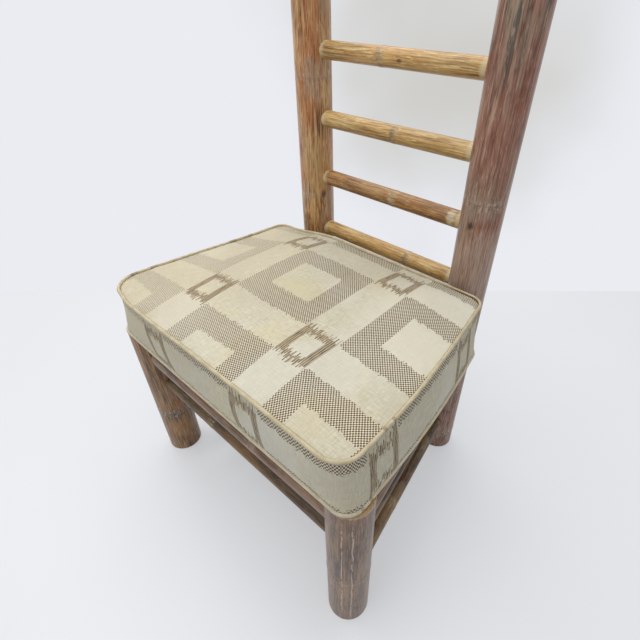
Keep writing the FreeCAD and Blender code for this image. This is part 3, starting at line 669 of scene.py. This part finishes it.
def welt_material(name, tones, brown_parts):
    """Piping cut on the cross from the same cloth.

    brown_parts: (run, half length) of the groups of dark threads.
    """
    graph = Surface(name)
    place = graph.node("ShaderNodeUVMap", uv_map="weave").outputs[0]
    s, around, _ = graph.split(place)
    slant = graph.math("ADD", s, graph.math("MULTIPLY", around, 0.9))
    twill = graph.wave(slant, CORD_TWILL_PITCH)
    brown_here = 0.0
    for middle, half in brown_parts:
        away = graph.math("ABSOLUTE", graph.math("SUBTRACT", s, middle))
        brown_here = graph.math("MAXIMUM", graph.fade(away, half, half * 0.8), brown_here)
    wear = graph.noise(place, 60, 3.0, 0.6)
    colour = graph.mix(graph.fade(wear, 0.35, 0.65), *tones)
    dashes = graph.math("MULTIPLY", brown_here, graph.fade(twill, -0.5, 0.3))
    colour = graph.mix(graph.math("MULTIPLY", dashes, 0.75), colour, TAUPE_DARK)
    colour = graph.tint(colour, graph.fade(twill, 0.2, -0.6, 0.45), (0.7, 0.66, 0.58))
    # painted shade in the seam, on the cord's inner side: dark bands above it and below it
    turn = graph.math("DIVIDE", around, WELT_RADIUS)
    above = graph.math("MULTIPLY", graph.fade(turn, 2.1, 2.55), graph.fade(turn, 4.0, 3.4))
    # the painted shade above the cord is strong only along the front and the right side, faint
    # elsewhere
    seam_shade_reach = graph.math("MULTIPLY", graph.fade(s, 0.6, 0.7), graph.fade(s, 1.62, 1.54))
    above = graph.math("MULTIPLY", above, graph.math("ADD", 0.1, graph.math("MULTIPLY", seam_shade_reach, 0.9)))
    below = graph.math("MULTIPLY", graph.fade(turn, 5.2, 4.8), graph.fade(turn, 3.2, 3.8))
    colour = graph.tint(colour, graph.math("MAXIMUM", above, below), (0.34, 0.26, 0.18))
    rough = graph.math("ADD", 0.8, graph.math("MULTIPLY", wear, 0.15))
    return graph.finish(colour, rough, graph.bump(twill, 0.4, 0.0004), 0.25)


# Cover: size of the starting mesh, frames and furthest move of the padding, how far from a seam
# and from the board the mesh is held, and the depth and reach of the gathers
VOXEL = 0.006
SWELL_FRAMES = 20
SWELL_CAP = 0.007
HELD_BY_SEAM = 0.0035
HELD_BY_BOARD = 0.004
GATHER = 0.0011
GATHER_REACH = 0.009
UNEVEN = 0.0010


def slim_cushion():
    """Starting shape for the padding: the cushion a little under its size, as a closed mesh."""
    height = TOP_WELT_Z - BOTTOM_WELT_Z
    sections = [(0, 0.008, DECK_TOP + 0.0006), (0, -0.001, BOTTOM_WELT_Z)]
    sections += [(share, 0.0, BOTTOM_WELT_Z + height * share)
                 for share in (0.12, 0.3, 0.5, 0.7, 0.88)]
    sections += [(1, 0.002, TOP_WELT_Z - 0.0015)]
    sections += [(1, inset, TOP_WELT_Z + CROWN * rise) for inset, rise in
                 ((0.010, 0.0), (0.016, 0.2), (0.035, 0.36), (0.07, 0.5), (0.105, 0.6),
                  (0.14, 0.64))]
    count = 220
    vertices, faces = [], []
    for level, inset, z in sections:
        ring, _ = outline(level, inset, count)
        vertices += [(x, y, z) for x, y in ring]
    for row in range(len(sections) - 1):
        for i in range(count):
            j = (i + 1) % count
            faces.append((row * count + i, row * count + j,
                          (row + 1) * count + j, (row + 1) * count + i))
    faces.append(tuple(reversed(range(count))))
    last = (len(sections) - 1) * count
    faces.append(tuple(range(last, last + count)))
    return vertices, faces


def applied(piece):
    """The piece's mesh with its modifiers worked in."""
    graph = bpy.context.evaluated_depsgraph_get()
    mesh = bpy.data.meshes.new_from_object(piece.evaluated_get(graph))
    piece.modifiers.clear()
    old = piece.data
    piece.data = mesh
    bpy.data.meshes.remove(old)
    return mesh


def coordinates(mesh):
    flat = np.empty(len(mesh.vertices) * 3)
    mesh.vertices.foreach_get("co", flat)
    return flat.reshape(-1, 3)


def nearest(points, ring):
    """Index of the ring's place that is nearest to each point, worked out part by part."""
    near = np.empty(len(points), int)
    for start in range(0, len(points), 4000):
        part = points[start:start + 4000, None] - ring[None]
        near[start:start + 4000] = (part ** 2).sum(2).argmin(1)
    return near


def seam_distance(points):
    """Distance from each point to the nearer welt's centre line."""
    best = np.full(len(points), 1.0)
    for level, z in SEAMS:
        ring, _ = outline(level, 0, SEAM_COUNT)
        near = nearest(points[:, :2], ring)
        flat = np.linalg.norm(points[:, :2] - ring[near], axis=1)
        best = np.minimum(best, np.hypot(flat, points[:, 2] - z))
    return best


def swell(piece):
    """Points filled by air pressure, held at the seams and where they rest."""
    start = coordinates(piece.data)
    held = seam_distance(start) < WELT_RADIUS + HELD_BY_SEAM
    held |= start[:, 2] < DECK_TOP + HELD_BY_BOARD
    group = piece.vertex_groups.new(name="held")
    group.add([int(i) for i in np.nonzero(held)[0]], 1.0, "REPLACE")
    cloth = piece.modifiers.new("padding", "CLOTH")
    cloth.settings.vertex_group_mass = "held"
    cloth.settings.use_pressure = True
    cloth.settings.uniform_pressure_force = 4.0
    cloth.settings.tension_stiffness = 12
    cloth.settings.compression_stiffness = 8
    cloth.settings.bending_stiffness = 0.8
    cloth.settings.effector_weights.gravity = 0.0
    cloth.point_cache.frame_start = 1
    cloth.point_cache.frame_end = SWELL_FRAMES
    scene = bpy.context.scene
    for number in range(1, SWELL_FRAMES + 1):
        scene.frame_set(number)
    graph = bpy.context.evaluated_depsgraph_get()
    puffed = bpy.data.meshes.new_from_object(piece.evaluated_get(graph))
    end = coordinates(puffed)
    bpy.data.meshes.remove(puffed)
    piece.modifiers.clear()
    piece.vertex_groups.clear()
    scene.frame_set(1)
    step = end - start
    length = np.linalg.norm(step, axis=1, keepdims=True)
    return start + step * np.minimum(1.0, SWELL_CAP / np.maximum(length, 1e-9))


def draw_in(points):
    """Draws the cover in to the two seams, so that it meets its piping all the way round."""
    reach, bite = 0.013, 0.0012
    for level, z in SEAMS:
        ring, _ = outline(level, 0, SEAM_COUNT)
        seam = np.column_stack([ring, np.full(len(ring), z)])
        close = np.nonzero(np.abs(points[:, 2] - z) < 0.03)[0]
        near = nearest(points[close], seam)
        away = seam[near] - points[close]
        length = np.linalg.norm(away, axis=1)
        # the gap from the seam to the cover, evened out along the seam
        gap = np.full(len(seam), 1.0)
        np.minimum.at(gap, near, length)
        gap = np.minimum.reduce([np.roll(gap, k) for k in range(-6, 7)])
        gap = np.mean([np.roll(gap, k) for k in range(-5, 6)], axis=0)[near]
        wanted = np.maximum(gap - bite, 0)
        share = np.clip(1 - (length - gap) / reach, 0, 1) ** 1.5
        points[close] += away * (wanted * share / np.maximum(length, 1e-6))[:, None]
    return points


def pucker(mesh, points):
    """Small gathers beside the seams, along the surface normals."""
    normals = np.empty(len(mesh.vertices) * 3)
    mesh.vertices.foreach_get("normal", normals)
    normals = normals.reshape(-1, 3)
    near = np.exp(-np.maximum(seam_distance(points) - WELT_RADIUS, 0) / GATHER_REACH)
    for index, (x, y, z) in enumerate(points):
        if near[index] > 0.03:
            wave = noise.noise(Vector((x * 90, y * 90, z * 25)))
            points[index] += normals[index] * wave * near[index] * GATHER
        hollow = noise.noise(Vector((x * 16 + 5, y * 16, z * 16)))
        points[index] += normals[index] * hollow * UNEVEN
    return points


def weave_map(mesh):
    """Lays the cloth on in metres: flat over the top, run by run round the boxing."""
    points = coordinates(mesh)
    ring, total = outline(0.5, 0, RUN_COUNT)
    runs = np.arange(RUN_COUNT) * total / RUN_COUNT
    run = runs[nearest(points[:, :2], ring)]

    def run_at(x, y):
        return runs[((ring - (x, y)) ** 2).sum(1).argmin()]

    # where the photograph shows the middles of the boxing's brown figures, one repeat apart
    y_front = plan(0.5)[0]
    marks = [run_at(-0.118, y_front), run_at(0.103, y_front),
             run_at(0.28, LEG_Y + 0.036), run_at(0.25, LEG_Y + 0.268)]
    steps = math.ceil(marks[0] / REPEAT)
    known_run = [marks[0] - REPEAT * steps] + marks + [marks[-1] + REPEAT * 2]
    known_u = [-REPEAT * steps] + [REPEAT * n for n in range(4)] + [REPEAT * 5]
    side_u = np.interp(run, known_run, known_u)
    middle = (BOTTOM_WELT_Z + TOP_WELT_Z) / 2
    layer = mesh.uv_layers.new(name="weave")
    flat = np.empty((len(mesh.loops), 2))
    for face in mesh.polygons:
        loops = list(face.loop_indices)
        ids = list(face.vertices)
        spot = points[ids]
        high = face.normal.z > 0.55 and spot[:, 2].mean() > middle
        low = face.normal.z < -0.55 and spot[:, 2].mean() < middle
        if high or low:
            flat[loops, 0] = spot[:, 0] + TOP_SHIFT[0]
            flat[loops, 1] = spot[:, 1] - LEG_Y + TOP_SHIFT[1]
        else:
            along = side_u[ids]
            if along.max() - along.min() > REPEAT:
                along = np.where(along < along.mean(), along.max(), along)
            flat[loops, 0] = along
            flat[loops, 1] = (spot[:, 2] - BOXING_MIDDLE_Z) * BOXING_SHRINK
    layer.data.foreach_set("uv", flat.ravel())


def make_cushion():
    """The puffed cover, gathered at its seams and slumped."""
    vertices, faces = slim_cushion()
    piece = mesh_object("cushion_cover", vertices, faces, cloth_material())
    remesh = piece.modifiers.new("even", "REMESH")
    remesh.mode = "VOXEL"
    remesh.voxel_size = VOXEL
    remesh.use_smooth_shade = True
    applied(piece)
    points = swell(piece)
    points[:, 2] = np.maximum(points[:, 2], DECK_TOP + REST_GAP)
    piece.data.vertices.foreach_set("co", points.ravel())
    piece.data.update()
    smooth = piece.modifiers.new("settle", "SMOOTH")
    smooth.factor = 0.5
    smooth.iterations = 1
    divide = piece.modifiers.new("fine", "SUBSURF")
    divide.levels = 1
    divide.render_levels = 1
    mesh = applied(piece)
    points = pucker(mesh, draw_in(coordinates(mesh)))
    mesh.vertices.foreach_set("co", points.ravel())
    mesh.update()
    weave_map(mesh)
    points = sway(points)
    points[:, 2] = np.maximum(points[:, 2], DECK_TOP + REST_GAP)
    mesh.vertices.foreach_set("co", points.ravel())
    mesh.polygons.foreach_set("use_smooth", [True] * len(mesh.polygons))
    mesh.update()
    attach(piece, "cushion")
    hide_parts("seat_cushion")


def make_welt(name, level, z, node, material):
    """Piped cord: a closed tube that thickens and thins a little."""
    count, sides = 640, 14
    ring, total = outline(level, 0, count)
    path = sway(np.column_stack([ring, np.full(count, z)]))
    tangent = np.roll(path, -1, axis=0) - np.roll(path, 1, axis=0)
    tangent /= np.linalg.norm(tangent, axis=1, keepdims=True)
    outward = np.cross(tangent, (0, 0, 1.0))
    outward /= np.linalg.norm(outward, axis=1, keepdims=True)
    upward = np.cross(outward, tangent)
    vertices = []
    for i in range(count):
        run = i * total / count
        thick = WELT_RADIUS * (0.98 + 0.02 * noise.noise(Vector((run * 30, level * 9, 0))))
        for k in range(sides):
            angle = 2 * math.pi * k / sides
            spot = path[i] + thick * (outward[i] * math.cos(angle) + upward[i] * math.sin(angle))
            vertices.append(spot)
    faces = [(i * sides + k, i * sides + (k + 1) % sides,
              ((i + 1) % count) * sides + (k + 1) % sides, ((i + 1) % count) * sides + k)
             for i in range(count) for k in range(sides)]
    piece = mesh_object(name, vertices, faces, material)
    layer = piece.data.uv_layers.new(name="weave")
    flat = []
    for i in range(count):
        for k in range(sides):
            s0, s1 = i * total / count, (i + 1) * total / count
            a0 = k * 2 * math.pi * WELT_RADIUS / sides
            a1 = (k + 1) * 2 * math.pi * WELT_RADIUS / sides
            flat += [s0, a0, s0, a1, s1, a1, s1, a0]
    layer.data.foreach_set("uv", flat)
    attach(piece, "cushion")
    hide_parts(node)


# Stage: the camera as solved from the photograph, and how far ahead of it the floor ends

CAMERA = (0.45096, LEG_Y - 0.23159, 0.86044)
YAW = math.radians(41.75)
PITCH = math.radians(38.03)
PICTURE = 640
FOCAL_PIXELS = 435.4
OPTICAL_AXIS = (343.0, 318.7)
SENSOR = 36
FLOOR_END = 1.256


def make_floor():
    """Pale floor that ends ahead of the camera, where the pale wall begins."""
    graph = Surface("floor_paper")
    coords = graph.node("ShaderNodeTexCoord").outputs["Object"]
    haze = graph.noise(coords, 1.5, 2.0)
    graph.put(graph.shader.inputs["Base Color"],
              graph.ramp(haze, [(0.3, rgb(220, 223, 228)), (0.7, rgb(226, 229, 234))]))
    graph.shader.inputs["Roughness"].default_value = 0.32
    glow = graph.node("ShaderNodeEmission")
    glow.inputs["Color"].default_value = (*rgb(236, 238, 242), 1)
    rays = graph.node("ShaderNodeLightPath")
    both = graph.node("ShaderNodeMixShader")
    seen = graph.math("MAXIMUM", rays.outputs["Is Camera Ray"], rays.outputs["Is Glossy Ray"])
    graph.put(both.inputs[0], graph.math("MULTIPLY", seen, 0.45))
    graph.put(both.inputs[1], graph.shader.outputs["BSDF"])
    graph.put(both.inputs[2], glow.outputs[0])
    graph.put(graph.output.inputs["Surface"], both.outputs[0])
    ahead = Vector((-math.sin(YAW), math.cos(YAW), 0))
    across = Vector((math.cos(YAW), math.sin(YAW), 0))
    here = Vector((CAMERA[0], CAMERA[1], 0))
    near, far, wide = -4.0, FLOOR_END, 5.0
    corners = [here + ahead * d + across * w for d, w in
               ((near, -wide), (near, wide), (far, wide), (far, -wide))]
    floor = mesh_object("floor", corners, [(0, 1, 2, 3)], graph.material, smooth=False)


def make_light():
    """Soft white world, a pale wall for the camera, and two large lamps."""
    world = bpy.data.worlds.new("studio")
    bpy.context.scene.world = world
    graph = Graph(world)
    # painted shade on the wall: it is a little darker and warmer behind the ladder, mottled
    coords = graph.node("ShaderNodeTexCoord").outputs["Generated"]
    away = graph.vector("DISTANCE", coords, (-0.48, 0.865, -0.13))
    mottle = graph.math("MULTIPLY", graph.noise(coords, 4.0, 2.0), 0.35)
    wall = graph.ramp(graph.math("ADD", mottle, away),
                      [(0.2, rgb(206, 205, 201)), (0.62, rgb(234, 236, 242))], "EASE")
    seen = graph.node("ShaderNodeBackground")
    graph.put(seen.inputs["Color"], wall)
    soft = graph.node("ShaderNodeBackground")
    soft.inputs["Color"].default_value = (0.97, 0.97, 0.96, 1)
    soft.inputs["Strength"].default_value = 0.5
    rays = graph.node("ShaderNodeLightPath")
    choose = graph.node("ShaderNodeMixShader")
    graph.put(choose.inputs[0],
              graph.math("MAXIMUM", rays.outputs["Is Camera Ray"], rays.outputs["Is Glossy Ray"]))
    graph.put(choose.inputs[1], soft.outputs[0])
    graph.put(choose.inputs[2], seen.outputs[0])
    output = graph.node("ShaderNodeOutputWorld")
    graph.put(output.inputs["Surface"], choose.outputs[0])
    for name, size, energy, place in (("ceiling_softbox", 2.6, 51, (-0.5, 0.1, 2.4)),
                                      ("front_softbox", 1.8, 5, (-0.1, -1.9, 1.7))):
        lamp = bpy.data.lights.new(name, "AREA")
        lamp.shape = "SQUARE"
        lamp.size = size
        lamp.energy = energy
        lamp.color = (1.0, 0.985, 0.96)
        holder = bpy.data.objects.new(name, lamp)
        holder.location = place
        aim = Vector((0, 0, 0.3)) - holder.location
        holder.rotation_euler = aim.to_track_quat("-Z", "Y").to_euler()
        bpy.context.scene.collection.objects.link(holder)


def make_camera():
    data = bpy.data.cameras.new("camera")
    data.sensor_width = SENSOR
    data.lens = FOCAL_PIXELS / PICTURE * SENSOR
    data.shift_x = -(OPTICAL_AXIS[0] - PICTURE / 2) / PICTURE
    data.shift_y = (OPTICAL_AXIS[1] - PICTURE / 2) / PICTURE
    camera = bpy.data.objects.new("camera", data)
    camera.location = CAMERA
    camera.rotation_euler = (math.pi / 2 - PITCH, 0, YAW)
    bpy.context.scene.collection.objects.link(camera)
    bpy.context.scene.camera = camera


dress_uprights()
dress_bars()
dress_hidden_pieces()
make_cushion()
make_welt("piping_bottom", 0, BOTTOM_WELT_Z, "cushion_welt_bottom",
          welt_material("bottom_welt_weave", (rgb(204, 195, 172), rgb(216, 208, 188)),
                        ((0.3, 0.03), (1.188, 0.003), (1.205, 0.003))))
make_welt("piping_top", 1, TOP_WELT_Z, "cushion_welt_top",
          welt_material("top_welt_weave", (rgb(190, 178, 148), rgb(206, 195, 168)),
                        ((0.318, 0.006), (0.36, 0.009), (0.53, 0.009), (0.575, 0.01),
                         (1.213, 0.003), (1.232, 0.003))))
make_camera()
make_floor()
make_light()
bpy.context.scene.view_settings.view_transform = "Standard"
